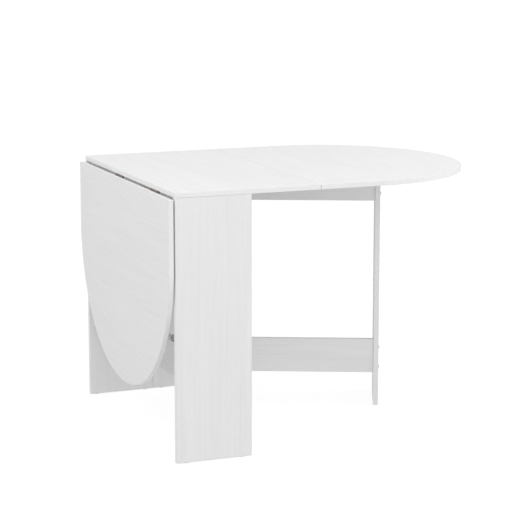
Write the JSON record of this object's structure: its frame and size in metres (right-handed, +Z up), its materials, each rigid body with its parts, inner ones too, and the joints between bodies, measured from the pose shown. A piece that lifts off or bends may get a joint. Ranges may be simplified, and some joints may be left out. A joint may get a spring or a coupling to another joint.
{
  "type": "gateleg table",
  "caption": "Narrow folding table: fixed centre on staggered end panels, half-round drop leaves, and hinged board gates that swing out to hold a raised leaf level.",
  "frame": {"origin": "middle of the footprint's box, on the floor, with the right leaf raised and the left leaf hanging", "axes": "+X from the hanging leaf to the raised leaf, +Y from the near end panel to the far one along the leaf hinges, +Z up"},
  "size_m": [1.0234, 0.8124, 0.74],
  "materials": {
    "white_melamine": "white melamine-faced particle board, matte, with a fine embossed wood grain",
    "hinge_steel": "dark bronzed steel, satin",
    "zinc_fastener": "bright zinc plate",
    "catch_plastic": "dark grey moulded plastic with a fine texture",
    "glide_plastic": "translucent white moulded plastic"
  },
  "bodies": {
    "carcass": {"centre_top": "white_melamine", "near_end_panel": "white_melamine", "far_end_panel": "white_melamine", "upper_stretcher": "white_melamine", "lower_stretcher": "white_melamine", "near_panel_glide_inner": "glide_plastic", "near_panel_glide_outer": "glide_plastic", "far_panel_glide_inner": "glide_plastic", "far_panel_glide_outer": "glide_plastic", "right_gate_catch_housing": "catch_plastic", "right_leaf_hinge_a_fixed_plate": "hinge_steel", "right_leaf_hinge_a_pin": "hinge_steel", "right_leaf_hinge_b_fixed_plate": "hinge_steel", "right_leaf_hinge_b_pin": "hinge_steel", "right_gate_lower_hinge_fixed_plate": "hinge_steel", "right_gate_lower_hinge_pin": "hinge_steel", "right_gate_upper_hinge_fixed_plate": "hinge_steel", "right_gate_upper_hinge_pin": "hinge_steel", "left_gate_catch_housing": "catch_plastic", "left_leaf_hinge_a_fixed_plate": "hinge_steel", "left_leaf_hinge_a_pin": "hinge_steel", "left_leaf_hinge_b_fixed_plate": "hinge_steel", "left_leaf_hinge_b_pin": "hinge_steel", "left_gate_lower_hinge_fixed_plate": "hinge_steel", "left_gate_lower_hinge_pin": "hinge_steel", "left_gate_upper_hinge_fixed_plate": "hinge_steel", "left_gate_upper_hinge_pin": "hinge_steel"},
    "right_leaf": {"right_leaf": "white_melamine", "right_leaf_stop_block": "white_melamine", "right_leaf_hinge_a_moving_plate": "hinge_steel", "right_leaf_hinge_b_moving_plate": "hinge_steel"},
    "right_gate": {"right_gate_leg": "white_melamine", "right_gate_upper_rail": "white_melamine", "right_gate_lower_rail": "white_melamine", "right_gate_lower_bolt_a": "zinc_fastener", "right_gate_lower_bolt_b": "zinc_fastener", "right_gate_upper_bolt_a": "zinc_fastener", "right_gate_upper_bolt_b": "zinc_fastener", "right_gate_glide_inner": "glide_plastic", "right_gate_glide_outer": "glide_plastic", "right_gate_lower_hinge_moving_plate": "hinge_steel", "right_gate_upper_hinge_moving_plate": "hinge_steel"},
    "left_leaf": {"left_leaf": "white_melamine", "left_leaf_stop_block": "white_melamine", "left_leaf_hinge_a_moving_plate": "hinge_steel", "left_leaf_hinge_b_moving_plate": "hinge_steel"},
    "left_gate": {"left_gate_leg": "white_melamine", "left_gate_upper_rail": "white_melamine", "left_gate_lower_rail": "white_melamine", "left_gate_lower_bolt_a": "zinc_fastener", "left_gate_lower_bolt_b": "zinc_fastener", "left_gate_upper_bolt_a": "zinc_fastener", "left_gate_upper_bolt_b": "zinc_fastener", "left_gate_glide_inner": "glide_plastic", "left_gate_glide_outer": "glide_plastic", "left_gate_lower_hinge_moving_plate": "hinge_steel", "left_gate_upper_hinge_moving_plate": "hinge_steel"}
  },
  "joints": [
    {"name": "left_leaf_hinge", "type": "hinge", "parent": "carcass", "child": "left_leaf", "pos_m": [-0.49475, -0.00115, 0.723], "axis": [0, 1, 0], "range_deg": [0, 90]},
    {"name": "right_leaf_hinge", "type": "hinge", "parent": "carcass", "child": "right_leaf", "pos_m": [-0.07375, -0.00115, 0.723], "axis": [0, -1, 0], "range_deg": [0, 3]},
    {"name": "right_gate_hinge", "type": "hinge", "parent": "carcass", "child": "right_gate", "pos_m": [-0.27425, 0.19285, 0.4], "axis": [0, 0, 1], "range_deg": [-65.6, 0]},
    {"name": "left_gate_hinge", "type": "hinge", "parent": "carcass", "child": "left_gate", "pos_m": [-0.29425, -0.19515, 0.4], "axis": [0, 0, 1], "range_deg": [0, 0.35]}
  ]
}
